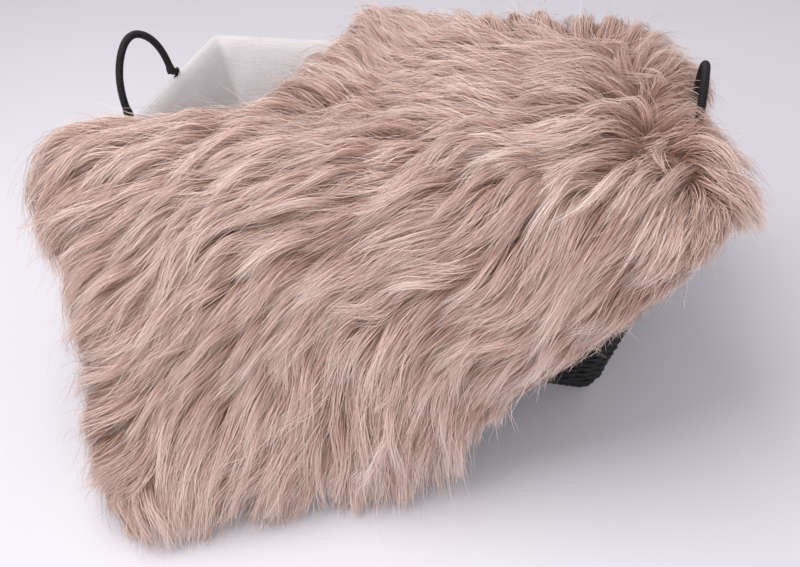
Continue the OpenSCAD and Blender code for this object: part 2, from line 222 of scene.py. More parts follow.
def woven_cloth(name, dark, light, thread):
    """Plain weave with threads of that width: crossed sets of ridges, thick and thin places, soft stains."""
    paint = Paint(name, Specular_IOR_Level=0.2, Sheen_Weight=0.25, Sheen_Roughness=0.5)
    ridges = {"Scale": 0.25 / thread, "Distortion": 1.2, "Detail": 2.0, "Detail Scale": 1.5}
    warp = paint.node("TexWave", {"Vector": paint.place(), **ridges}, bands_direction="Z").outputs["Fac"]
    weft = paint.node("TexWave", {"Vector": paint.place((1, 1, 0.2)), **ridges},
                      bands_direction="DIAGONAL").outputs["Fac"]
    weave = paint.math("MULTIPLY", warp, weft)
    slubs = paint.noise(500, 2, paint.place((0.08, 0.08, 1)))
    streaks = paint.noise(450, 2, paint.place((1, 1, 0.06)))
    uneven = paint.math("MULTIPLY", paint.math("ADD", slubs, streaks), 0.35)
    height = paint.math("ADD", paint.math("MULTIPLY", weave, 0.5), uneven)
    stain = paint.ramp(paint.noise(14, 3), (0.35, 0.0), (0.8, 0.25))
    # The colour follows the weave's height: darker where it lies lower, between the threads, as painted
    # shade; the stains are the cloth's own.
    paint.colour(paint.mix(stain, paint.ramp(height, (0.2, dark), (0.75, light)), dark))
    paint.rough(height, 0.95, 0.75)
    paint.bump(height, 0.35 * MM, 0.8)
    return paint.material


def knit():
    """The off-white knitted ground of the pile, with its rows of small loops and loose fuzz."""
    paint = Paint("knit_backing", Specular_IOR_Level=0.15, Sheen_Weight=0.4, Sheen_Roughness=0.6)
    loops = paint.node("TexVoronoi", {"Vector": paint.place(), "Scale": 620.0}).outputs["Distance"]
    fuzz = paint.noise(900, 4)
    height = paint.math("ADD", loops, paint.math("MULTIPLY", fuzz, 0.6))
    # The colour darkens where the knit lies lower, between its loops: painted shade.
    paint.colour(paint.ramp(height, (0.2, (0.80, 0.76, 0.74)), (0.9, (0.48, 0.43, 0.41))))
    paint.rough(fuzz, 0.85, 1.0)
    paint.bump(height, -0.5 * MM)
    return paint.material


def painted_pile_shade():
    """A dark brown sheet on the pile side of the ground: painted shade, seen only as the dark between the
    locks.
    """
    return mottled("painted_pile_shade", 700, 5, (0.3, (0.30, 0.165, 0.125)), (0.8, (0.55, 0.37, 0.30)), (1.0, 1.0),
                   2 * MM, Specular_IOR_Level=0.05)


def pile_material():
    """Dusty-pink acrylic fibre. The UV map OFBake holds the strand's shade in U and root to tip in V."""
    paint = Paint("pile", Roughness=0.42, Specular_IOR_Level=0.6, Sheen_Weight=0.4, Sheen_Roughness=0.35,
                  Sheen_Tint=(1.0, 0.93, 0.91, 1.0))
    uv = paint.node("UVMap", uv_map="OFBake").outputs[0]
    split = paint.node("SeparateXYZ", {0: uv})
    shade, along = split.outputs[0], split.outputs[1]
    # Darkest and reddest at the root, palest at the tip: partly the fibre's own tone, partly painted shade
    # deep in the pile.
    tone = paint.ramp(along, (0.0, (0.30, 0.150, 0.105)), (0.2, (0.565, 0.352, 0.274)),
                      (0.55, (0.805, 0.605, 0.526)), (1.0, (0.93, 0.798, 0.738)))
    # The tint follows the strand's shade value, which holds random tone and painted depth shade: the warm
    # dark low stop paints shade on the low hairs, the pale cool top stop a painted sheen on the highest.
    tint = paint.ramp(shade, (0.0, (0.66, 0.56, 0.51)), (0.42, (0.95, 0.91, 0.89)), (0.8, (1.0, 1.0, 1.0)),
                      (1.0, (1.05, 1.09, 1.11)))
    paint.colour(paint.mix(1.0, tone, tint, "MULTIPLY"))
    paint.rough(shade, 0.50, 0.28)
    return paint.material


def white_fuzz():
    """The broken white fibres of the knitted ground along the cut edge."""
    return mottled("white_fuzz", 800, 2, (0.3, (0.70, 0.66, 0.65)), (0.7, (0.90, 0.87, 0.87)), (0.8, 1.0),
                   Specular_IOR_Level=0.2, Sheen_Weight=0.5)


def floor_material():
    """Pale studio paper with a trace of lilac."""
    return mottled("floor", 3, 3, (0.3, (0.78, 0.755, 0.80)), (0.7, (0.80, 0.775, 0.82)), (0.75, 0.9),
                   Specular_IOR_Level=0.15)


# ---- shared mesh helpers

def make_object(name, verts, faces, material, smooth=True):
    mesh = bpy.data.meshes.new(name)
    mesh.from_pydata([tuple(v) for v in verts], [], [tuple(int(i) for i in f) for f in faces])
    mesh.materials.append(material)
    mesh.polygons.foreach_set("use_smooth", [smooth] * len(mesh.polygons))
    mesh.update()
    piece = bpy.data.objects.new(name, mesh)
    bpy.context.collection.objects.link(piece)
    return piece


def unit(vectors):
    """Each vector divided by its length."""
    return vectors / np.linalg.norm(vectors, axis=-1, keepdims=True)


def grid_faces(rows, columns, wrap_rows=False, wrap_columns=False):
    """Quads over a grid of rows x columns vertices."""
    i = np.arange(rows if wrap_rows else rows - 1)[:, None]
    j = np.arange(columns if wrap_columns else columns - 1)[None, :]
    i2, j2 = (i + 1) % rows, (j + 1) % columns
    corners = [i * columns + j, i2 * columns + j, i2 * columns + j2, i * columns + j2]
    return np.stack(np.broadcast_arrays(*corners), -1).reshape(-1, 4)


def tube(path, radius, sides=8, closed=False, side=(0.3, 0.2, 0.93)):
    """Verts and faces of a tube along path. side is a fixed direction that the rings are laid out from."""
    path = np.asarray(path, float)
    ahead = np.roll(path, -1, 0) - np.roll(path, 1, 0)
    if not closed:
        ahead[0], ahead[-1] = path[1] - path[0], path[-1] - path[-2]
    ahead = unit(ahead)
    across = unit(np.cross(ahead, np.broadcast_to(side, ahead.shape)))
    lift = np.cross(across, ahead)
    turn = np.arange(sides) * TURN / sides
    radius = np.broadcast_to(np.asarray(radius, float), (len(path),))[:, None, None]
    ring = np.cos(turn)[None, :, None] * across[:, None] + np.sin(turn)[None, :, None] * lift[:, None]
    verts = (path[:, None] + radius * ring).reshape(-1, 3)
    faces = grid_faces(len(path), sides, closed, True).tolist()
    if not closed:
        faces.append(list(range(sides)))
        faces.append(list(range(len(verts) - 1, len(verts) - 1 - sides, -1)))
    return verts, faces


def make_joined(name, parts, material):
    """One object from several (verts, faces)."""
    verts, faces, start = [], [], 0
    for part_verts, part_faces in parts:
        verts.append(np.asarray(part_verts))
        faces += [[i + start for i in face] for face in part_faces]
        start += len(part_verts)
    return make_object(name, np.concatenate(verts), faces, material)


def mesh_lists(node):
    """A node's vertices and faces, as BVHTree and bmesh take them."""
    mesh = node.data
    return [node.matrix_world @ v.co for v in mesh.vertices], [list(p.vertices) for p in mesh.polygons]


def apply_modifiers(piece):
    graph = bpy.context.evaluated_depsgraph_get()
    mesh = bpy.data.meshes.new_from_object(piece.evaluated_get(graph))
    piece.modifiers.clear()
    piece.data = mesh


def thicken(piece, thickness, offset, rim_material=0):
    """Gives a single-layer piece its thickness. Its back and rim take the material of that number."""
    modifier = piece.modifiers.new("thickness", "SOLIDIFY")
    modifier.thickness, modifier.offset = thickness, offset
    modifier.material_offset = modifier.material_offset_rim = rim_material
    apply_modifiers(piece)


def smooth_by_modifier(piece, levels):
    modifier = piece.modifiers.new("smooth", "SUBSURF")
    modifier.levels = modifier.render_levels = levels
    apply_modifiers(piece)


def fit(piece, body, slot, *replaced):
    """Fixes a piece to a body and hides the CAD nodes that it stands for. slot is not used."""
    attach(piece, body)
    if replaced:
        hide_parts(*replaced)


def half_l(z):
    return RIM_L / 2 - TAPER * (1 - z / RIM_H)


def half_w(z):
    return RIM_W / 2 - TAPER * (1 - z / RIM_H)


def round_rect(length, width, radius, count):
    """count points, evenly spaced, round a rectangle of those half sizes, and the outward normals there."""
    along_x, along_y, quarter = 2 * (length - radius), 2 * (width - radius), radius * math.pi / 2
    total = 2 * (along_x + along_y) + 4 * quarter
    sides = [(along_x, (radius - length, -width), (1, 0)), (along_y, (length, radius - width), (0, 1)),
             (along_x, (length - radius, width), (-1, 0)), (along_y, (-length, width - radius), (0, -1))]
    points, normals = [], []
    for k in range(count):
        s = k * total / count
        for run, (x, y), (dx, dy) in sides:
            if s < run:
                points.append((x + dx * s, y + dy * s))
                normals.append((dy, -dx))
                break
            s -= run
            if s < quarter:
                a = s / radius
                nx, ny = dy * math.cos(a) + dx * math.sin(a), -dx * math.cos(a) + dy * math.sin(a)
                points.append((x + dx * run + (nx - dy) * radius, y + dy * run + (ny + dx) * radius))
                normals.append((nx, ny))
                break
            s -= quarter
    return np.array(points), np.array(normals)


def helix(path, radius, pitch, start_turn=0.0, steps=12):
    """Points of a helix wound round path at that pitch. radius is one value, or several along the path."""
    path = np.asarray(path, float)
    gaps = np.linalg.norm(np.diff(path, axis=0), axis=1)
    run = np.concatenate([[0], np.cumsum(gaps)])
    turns = run[-1] / pitch
    s = np.linspace(0, run[-1], max(int(turns * steps), 8))
    middle = np.stack([np.interp(s, run, path[:, k]) for k in range(3)], 1)
    ahead = unit(np.gradient(middle, axis=0))
    side = np.broadcast_to((1.0, 0.05, 0.03), ahead.shape)
    side = unit(side - (side * ahead).sum(1, keepdims=True) * ahead)
    other = np.cross(ahead, side)
    angle = (s / pitch + start_turn) * TURN
    radius = np.interp(s, np.linspace(0, run[-1], np.size(radius)), np.atleast_1d(radius))
    return middle + radius[:, None] * (np.cos(angle)[:, None] * side + np.sin(angle)[:, None] * other)


# ---- basket

def weave_basket(material):
    """Cord woven round the uprights in rows that pass in front and behind by turns."""
    pitch, cord_r = 4.5 * MM, 2.3 * MM
    inset = 2.7 * MM    # from the wall's face to the middle of the weave
    swing = 1.3 * MM    # how far a cord goes to either side of it
    waves, steps = 52, 6
    rows = int((RIM_H - 2 * RIM_R - 2 * FOOT_R) / pitch)
    rng = np.random.default_rng(3)
    parts = []
    for row in range(rows):
        z = 2 * FOOT_R + cord_r + 0.3 * MM + row * pitch
        points, normals = round_rect(half_l(z) - inset, half_w(z) - inset, CORNER_R, waves * steps)
        phase = np.arange(len(points)) / steps * TURN + row * math.pi
        out = swing * np.sin(phase) + rng.normal(0, 0.12 * MM, len(points))
        level = z + 0.35 * MM * np.sin(phase / 2 + rng.uniform(0, 6)) + rng.normal(0, 0.1 * MM, len(points))
        path = np.column_stack([points + normals * out[:, None], level])
        thick = cord_r * (1 + 0.10 * np.sin(phase * 2 + rng.uniform(0, 6)))
        parts.append(tube(path, thick, 5, closed=True, side=(0, 0, 1)))
    return make_joined("woven_sides", parts, material)


def rolled_cord(name, length, width, radius, z, material):
    """A border of cord rolled round a wire: a closed bar with a slanting groove every few millimetres."""
    pitch, steps, sides = 6 * MM, 6, 10
    total = 4 * (length + width - 2 * CORNER_R) + TURN * CORNER_R
    points, normals = round_rect(length, width, CORNER_R, int(total / pitch) * steps)
    verts = []
    for k, (point, normal) in enumerate(zip(points, normals)):
        for side in range(sides):
            a = side * TURN / sides
            groove = abs(math.sin((k / steps - side / sides) * math.pi))
            r = radius * (0.82 + 0.18 * groove ** 0.6)
            out = r * math.cos(a)
            verts.append((point[0] + normal[0] * out, point[1] + normal[1] * out, z + r * math.sin(a)))
    return make_object(name, verts, grid_faces(len(points), sides, True, True), material)


def at_hinge(side):
    """From a loop's own upright frame to its place on the basket."""
    lean = Matrix.Rotation(side * LEAN[side], 4, "Y")
    return Matrix.Translation((side * HINGE_X, LOOP_Y, HINGE_Z)) @ lean


def loop_path(side, low):
    """Centre line of one loop from height low on the front leg, over the top, to the back leg."""
    shoulder = math.acos((SIDE_R - LOOP_R) / (SIDE_R - TOP_R))
    crown = LEG_H + (SIDE_R - TOP_R) * math.sin(shoulder)
    half = [(LOOP_R, low)]
    half += [(LOOP_R - SIDE_R + SIDE_R * math.cos(a), LEG_H + SIDE_R * math.sin(a))
             for a in np.linspace(0, shoulder, 16)]
    half += [(TOP_R * math.cos(a), crown + TOP_R * math.sin(a))
             for a in np.linspace(shoulder, math.pi / 2, 10)[1:]]
    outline = [(-y, z) for y, z in half] + half[-2::-1]
    return [at_hinge(side) @ Vector((0, y, z)) for y, z in outline]


def build_handle(name, side, cord):
    """The cord wound round one loop, and the whipping at its feet."""
    cord_r, thick = 0.85 * MM, 0.9 * MM
    winding = helix(loop_path(side, 6.5 * MM), WRAP_R - cord_r, 2.02 * cord_r)
    wrap = make_object(name + "_cord", *tube(winding, cord_r, 6), cord)
    radii = [3.8 * MM, 3.8 * MM, 3.6 * MM, 3.4 * MM]
    parts = []
    for y in (-LOOP_R, LOOP_R):
        line = [at_hinge(side) @ Vector((0, y, z * MM)) for z in (1.2, 3.4, 6, 9)]
        parts.append(tube(helix(line, radii, 2 * thick, y), thick, 6))
    whipping = make_joined(name + "_whipping", parts, cord)
    fit(wrap, name + "_loop", "black_cord", name + "_handle_wrap")
    fit(whipping, name + "_loop", "black_cord", name + "_handle_bindings")


def build_eyes(name, side, cord):
    """Cord wound into a tapered bush round each end of a loop, and lashed to the rim below it."""
    thick = 0.9 * MM
    rim_x, rim_z = side * (RIM_L / 2 + 1 * MM - RIM_R), RIM_H - RIM_R
    near, far = EYE_Y - EYE_L / 2 + thick, EYE_Y + EYE_L / 2 + 1 * MM
    parts = []
    for s in (-1, 1):
        line = [(side * HINGE_X, LOOP_Y + s * near, HINGE_Z),
                (side * HINGE_X, LOOP_Y + s * far, HINGE_Z - 1 * MM)]
        parts.append(tube(helix(line, [2.9 * MM, 1.7 * MM], 2 * thick), thick, 6))
        middle = LOOP_Y + s * EYE_Y
        rim = [(rim_x, middle - 4 * MM, rim_z), (rim_x, middle + 4 * MM, rim_z)]
        parts.append(tube(helix(rim, RIM_R + 0.7 * thick, 2 * thick, 0.2), thick, 6))
    lashings = make_joined(name + "_eye_lashings", parts, cord)
    fit(lashings, "basket", "black_cord", name + "_handle_eyes")


def paint_nodes(material, *names):
    for name in names:
        mesh = nodes[name].data
        mesh.materials.clear()
        mesh.materials.append(material)


def build_basket():
    """The woven sides and both borders, the handles, and the CAD's own wires, base and uprights, painted."""
    cord, wire, board = black_cord(), black_wire(), black_board()
    fit(weave_basket(cord), "basket", "black_cord",
        "front_weave", "back_weave", "left_weave", "right_weave", "corner_posts")
    foot = rolled_cord("rolled_foot", half_l(0) - FOOT_R, half_w(0) - FOOT_R, FOOT_R, FOOT_R, cord)
    fit(foot, "basket", "black_cord", "foot_border")
    rim_z = RIM_H - RIM_R
    inset = RIM_R - 1 * MM
    rim = rolled_cord("rolled_rim", half_l(rim_z) - inset, half_w(rim_z) - inset, RIM_R, rim_z, cord)
    fit(rim, "basket", "black_cord", "rim_border")
    for name, side in SIDES:
        build_handle(name, side, cord)
        build_eyes(name, side, cord)
    paint_nodes(wire, "rim_wire", "left_handle_wire", "right_handle_wire")
    paint_nodes(board, "base_panel", "uprights")


# ---- linen liner

SLIT_HALF, SLIT_RUN = 10 * MM, 12 * MM    # half the width of a slit, and half its length down the cuff
SLIT_DROP = 9 * MM                        # from the crest of the liner down to the middle of a slit
SLIT_Y = (LOOP_R + EYE_Y) / 2             # from the middle of a loop to each slit


def liner_section():
    """The liner's section from the floor up the wall, over the rim and down to the hem: (inset, height)."""
    roll_r = RIM_R + 1.1 * MM
    roll_in, roll_z = RIM_R - 1 * MM, RIM_H - RIM_R
    low_in, top_in = LINING_GAP + 0.6 * MM, roll_in + roll_r
    wall = []
    for z in np.linspace(9 * MM, roll_z, 46):
        ease = max(0, (z - 0.8 * RIM_H) / (0.2 * RIM_H)) ** 2
        wall.append((low_in + (top_in - low_in) * ease, z))
    roll = [(roll_in + roll_r * math.cos(a), roll_z + roll_r * math.sin(a))
            for a in np.linspace(0.25, math.pi, 9)]
    skirt = [(roll_in - roll_r - 1.7 * MM * k, roll_z + (RIM_H - CUFF_DROP - roll_z) * k)
             for k in np.linspace(0.06, 1, 17)]
    return np.array(wall + roll + skirt)


def fold_depth(x, y, z):
    """How far the linen stands off its wall: upright folds near the corners and small sags between them."""
    corner = abs(abs(x) - half_l(z)) + abs(abs(y) - half_w(z))
    near = math.exp(-(max(corner - 12 * MM, 0) / (30 * MM)) ** 2)
    s = x * 0.8 + y * (1.1 if x > 0 else -1.1)
    folds = 0.5 + 0.5 * math.sin(s / (4.6 * MM) + 3 * noise.noise((x * 9, y * 9, z * 5)))
    sag = 0.5 + 0.5 * noise.noise((x * 14, y * 14, z * 11 + 7))
    return near * folds * 3.6 * MM + sag * 2.4 * MM


def linen_bag(section, run, crest, linen):
    """The bag itself. Its vertices beside a slit are moved to the slit's edge and those inside it dropped."""
    columns = 560
    spacing = 2 * (RIM_L + RIM_W) / columns
    verts, inside = [], []
    for (inset, z), s in zip(section, run):
        corner_r = max(8 * MM, CORNER_R - inset)
        points, normals = round_rect(half_l(z) - inset, half_w(z) - inset, corner_r, columns)
        share = min(1, s / (30 * MM), abs(s - crest) / (22 * MM) + 0.12)
        from_slit = s - crest - SLIT_DROP
        half = SLIT_HALF * math.sqrt(max(0, 1 - (from_slit / SLIT_RUN) ** 2))
        for (x, y), (nx, ny) in zip(points, normals):
            beside = abs(y - LOOP_Y) - SLIT_Y
            at_side = abs(nx) > 0.99
            on_edge = at_side and half > 0 and abs(abs(beside) - half) < 0.55 * spacing
            if on_edge:
                y = LOOP_Y + math.copysign(SLIT_Y + math.copysign(half, beside), y - LOOP_Y)
            inside.append(at_side and not on_edge and abs(beside) < half)
            push = fold_depth(x, y, z) * share * (-1 if s < crest else 0.3)
            if at_side:
                push *= min(1, math.hypot(beside, from_slit) / (40 * MM)) ** 2
            verts.append((x + nx * push, y + ny * push, z))
    faces = [f for f in grid_faces(len(section), columns, False, True) if not any(inside[i] for i in f)]
    bag = make_object("linen_liner", verts, faces, linen)
    drop_loose(bag)
    thicken(bag, 1.0 * MM, 0)
    return bag


def slit_edges(section, run, crest, linen):
    """The bound edge of each slit."""
    parts = []
    for _, side in SIDES:
        for s in (-1, 1):
            rim = []
            for a in np.linspace(0, TURN, 48, endpoint=False):
                at = crest + SLIT_DROP + SLIT_RUN * math.sin(a)
                inset, z = (np.interp(at, run, section[:, k]) for k in (0, 1))
                rim.append((side * (half_l(z) - inset), LOOP_Y + s * SLIT_Y + SLIT_HALF * math.cos(a), z))
            parts.append(tube(rim, 1.0 * MM, 6, closed=True, side=(side, 0.1, 0.3)))
    return make_joined("slit_edges", parts, linen)


def cuff_hem(section, linen):
    """The rolled hem of the cuff and the stitched seam above it."""
    parts = []
    for (inset, z), rise, radius, sides in ((section[-1], 1 * MM, 1.3 * MM, 8),
                                            (section[-4] - (0.4 * MM, 0), 0, 0.5 * MM, 5)):
        points, _ = round_rect(half_l(z) - inset, half_w(z) - inset, CORNER_R, 240)
        parts.append(tube([(x, y, z + rise) for x, y in points], radius, sides, True, (0, 0, 1)))
    return make_joined("cuff_hem", parts, linen)


def build_liner(linen):
    """One sewn bag of linen whose top is turned over the rim, with an oval slit at each foot of the loops."""
    section = liner_section()
    run = np.concatenate([[0], np.cumsum(np.linalg.norm(np.diff(section, axis=0), axis=1))])
    crest = run[section[:, 1].argmax()]
    fit(linen_bag(section, run, crest, linen), "basket", "linen",
        "liner_front", "liner_back", "liner_left", "liner_right", "liner_corners", "liner_cuff")
    fit(slit_edges(section, run, crest, linen), "basket", "linen", "slit_bindings")
    fit(cuff_hem(section, linen), "basket", "linen", "liner_hem")
    paint_nodes(linen, "liner_floor")


def drop_loose(piece):
    """Deletes vertices that no face uses."""
    solid = bmesh.new()
    solid.from_mesh(piece.data)
    bmesh.ops.delete(solid, geom=[v for v in solid.verts if not v.link_faces], context="VERTS")
    solid.to_mesh(piece.data)
    solid.free()


# ---- cushion

PRESSURE, FRAMES = 4, 20      # of the cloth simulation that fills the cushion
SHRINK = 6 * MM               # how far inside its CAD solid the cushion starts
MOST_MOVED = 5 * MM           # and how far the simulation may move it


def blow_up(cushion, rest):
    """Fills the cushion by a cloth simulation with inner pressure, held to MOST_MOVED from its start."""
    cloth = cushion.modifiers.new("fill", "CLOTH")
    cloth.settings.use_pressure = True
    cloth.settings.uniform_pressure_force = PRESSURE
    cloth.settings.effector_weights.gravity = 0
    for number in range(1, FRAMES + 1):
        bpy.context.scene.frame_set(number)
    apply_modifiers(cushion)
    bpy.context.scene.frame_set(1)
    moved = np.array([v.co for v in cushion.data.vertices]) - rest
    far = np.linalg.norm(moved, axis=1, keepdims=True)
    for v, place in zip(cushion.data.vertices, rest + moved * np.minimum(1, MOST_MOVED / (far + 1e-9))):
        v.co = place


def cushion_welt(cushion, cotton):
    """The seam round the cushion's middle, found by rays sent in from all round."""
    surface = BVHTree.FromPolygons(*mesh_lists(cushion))
    middle = Vector((50 * MM, 0, 188 * MM))
    welt = []
    for turn in np.linspace(0, TURN, 240, endpoint=False):
        way = Vector((math.cos(turn), math.sin(turn), 0))
        place = surface.ray_cast(middle + way, -way)[0]
        if place:
            welt.append(place + Vector((0, 0, 0.8 * MM * math.sin(9 * turn))))
    return make_object("cushion_seam", *tube(welt, 1.3 * MM, 8, True, (0, 0, 1)), cotton)


def build_cushion(cotton):
    """The filled cushion under the throw, grown from its CAD solid, and its seam."""
    source = nodes["padding"]
    cushion = bpy.data.objects.new("cushion", source.data.copy())
    bpy.context.collection.objects.link(cushion)
    bpy.context.view_layer.update()
    cushion.data.transform(source.matrix_world)
    remesh = cushion.modifiers.new("even", "REMESH")
    remesh.mode, remesh.voxel_size = "VOXEL", 7 * MM
    apply_modifiers(cushion)
    normals = np.array([v.normal for v in cushion.data.vertices])
    rest = np.array([v.co for v in cushion.data.vertices]) - normals * SHRINK
    for v, place in zip(cushion.data.vertices, rest):
        v.co = place
    blow_up(cushion, rest)
    for v, normal in zip(cushion.data.vertices, normals):
        pucker = noise.noise(v.co * 28) * 1.6 * MM + noise.noise(v.co * 75) * 0.5 * MM
        v.co += Vector(normal) * pucker
    cushion.data.materials.clear()
    cushion.data.materials.append(cotton)
    smooth_by_modifier(cushion, 1)
    cushion.data.polygons.foreach_set("use_smooth", [True] * len(cushion.data.polygons))
    fit(cushion, "basket", "padding_cotton", "padding")
    fit(cushion_welt(cushion, cotton), "basket", "padding_cotton")


# ---- throw

# How the pile is combed: each stroke is a place in millimetres and the way that the hair lies there
COMB = np.array([
    # back and top; the hair parts along the right rim
    (20, 100, 246, -8, 5, 0), (-40, 120, 240, -9, 5, 0), (-60, 165, 240, -8, 5, -2),
    (70, 60, 250, -8, 4, 0), (110, 150, 244, -4, 8, 0), (60, 170, 236, -3, 8, -4),
    (120, 90, 253, -7, 6, 0), (160, 60, 254, -9, 2, 0), (150, 0, 256, -10, -1, 0),
    (100, 20, 254, -10, 0, 0), (190, 10, 254, -9, -3, 0), (205, -50, 254, -9, -4, 0),
    (150, -60, 258, -10, -2, 0), (225, -95, 252, -8, -6, 0), (190, -110, 256, -9, -5, 0),
    (120, -90, 260, -10, -2, 0), (160, -135, 254, -8, -7, -1), (230, -135, 249, -5, -9, -1),
    # right of the parting
    (170, 135, 248, 2, 9, 0), (206, 150, 240, 5, 8, -3), (210, 90, 249, 5, 8, 0),
    (236, 80, 246, 6, 8, -2), (232, 35, 250, 7, 7, 0), (243, 12, 249, 7, 7, -1), (240, -35, 254, 8, 6, 0),
    (234, -70, 256, 8, 6, 0), (252, -72, 258, 9, 3, 0), (275, -78, 253, 9, 1, -3),
    (274, -108, 245, 8, -4, -4), (292, -95, 234, 7, -3, -6), (280, -130, 222, 0, -7, -7),
    (252, -108, 251, -6, -7, -2), (258, -138, 243, -5, -8, -3), (238, -100, 253, -8, -6, 0),
    # middle, over the hollow above the cushion
    (40, -110, 254, -10, 0, -1), (30, -40, 247, -10, 2, 0), (-30, 20, 235, -8, 5, 0),
    (-80, 10, 228, -7, 4, 0), (-60, 60, 232, -8, 5, 0), (-100, 60, 232, -7, 2, 0),
    (-150, 30, 232, -6, -7, 0), (-70, -40, 225, -2, -9, 0), (-125, -40, 233, -7, -7, 0),
    (-180, -20, 231, -8, -6, 0), (-60, -90, 240, -9, -4, 0),
    # left shoulder
    (-210, -60, 237, -9, -4, 0), (-155, -90, 243, -9, -4, 0), (-240, -90, 238, -9, -3, -1),
    (-175, -125, 249, -9, -4, 0), (-255, -125, 238, -8, -4, -2), (-285, -110, 212, -6, -5, -6),
    (-245, -165, 232, -7, -6, -4), (-180, -170, 233, -8, -5, -3), (-275, -150, 205, -6, -5, -6),
    (-100, -160, 243, -9, -4, -1), (-30, -165, 240, -9, -4, -1), (40, -165, 243, -8, -5, -2),
    # down the front
    (-240, -195, 185, -2, -5, -8), (-226, -222, 155, -2, -5, -8), (-205, -205, 195, -6, -5, -6),
    (-150, -200, 197, -7, -4, -5), (-80, -195, 200, -8, -3, -4), (-10, -190, 205, -8, -3, -5),
    (60, -190, 205, -7, -3, -6), (125, -184, 212, -6, -3, -7), (190, -180, 208, -7, -3, -7),
    (240, -172, 215, -6, -3, -8), (-210, -252, 112, -7, -3, -6), (-160, -235, 147, -6, -4, -7),
    (-95, -222, 150, -6, -3, -7), (-20, -212, 158, -5, -3, -8), (60, -204, 160, -5, -3, -8),
    (130, -195, 162, -6, -3, -7), (-190, -296, 66, -7, -4, -6), (-130, -270, 90, -4, -5, -8),
    (-60, -250, 95, -4, -4, -9), (20, -236, 100, -3, -3, -9), (90, -222, 100, -4, -3, -9),
    (-165, -332, 20, 3, -8, -3), (-90, -290, 38, -3, -5, -8), (0, -260, 45, -2, -4, -9),
    (80, -228, 62, -4, -3, -9),
    # along the cut edge
    (262, -152, 208, -8, -2, -7), (246, -155, 182, -9, -2, -6), (212, -162, 148, -10, -3, -5),
    (170, -178, 115, -10, -3, -5), (140, -192, 96, -9, -4, -5), (205, -180, 160, -8, -3, -7),
    (165, -195, 122, -7, -3, -7),
], float)
comb_places = COMB[:, :3] * MM
comb_ways = unit(COMB[:, 3:])

PILE_LENGTH = 0.100      # length of the long hair
PILE_SPREAD = 27 * MM    # depth of the pile as it lies, as in the CAD model
SEGMENTS = 8             # straight pieces along a hair
STRANDS = 154800         # about how many hairs there are
LOCKS_APART = 21 * MM    # between the roots of neighbouring locks
TUFTS_APART = 7.4 * MM   # and of neighbouring tufts
TUFT_R = 6.8 * MM        # radius of a tuft at its root
TUFT_DEPTH = 2.6 * MM    # how far its hairs lie above and below one another
WILD_SHARE = 0.13        # share of the hairs that stand out of their tufts
BANDS = 12               # pieces that the pile is split into
FLOOR_CLEAR = 2 * MM     # least height of the hair above the floor
# Where the pile differs: a line and its reach in mm, and the shares of length, lift and droop on that line
ZONES = [
    ([(280, -134, 220), (258, -151, 199), (234, -154, 166), (190, -169, 130), (146, -188, 100)],
     72, 0.05, 0.12, 0.2),
    ([(-78, 174, 220), (-88, 156, 240), (-98, 72, 229), (-128, 0, 230), (-178, -64, 238)],
     55, 0.6, 0.3, 0.8),
    ([(206, 155, 240), (241, 80, 244), (243, 30, 248)], 60, 0.5, 0.9, 0.6),
    ([(232, -58, 255), (252, -70, 257)], 36, 0.8, 2.3, 0.3),
    ([(275, -70, 253), (294, -90, 234), (294, -104, 232), (280, -132, 222)], 48, 0.42, 0.8, 0.3),
    ([(-290, -94, 208), (-290, -128, 198), (-270, -174, 186)], 80, 0.38, 0.25, 0.8),
    ([(-245, -200, 175), (-224, -216, 156), (-215, -240, 120)], 50, 0.5, 0.7, 0.6),
    ([(-200, -300, 50), (-174, -336, 14), (-130, -318, 26)], 60, 0.42, 0.7, 1.0),
]


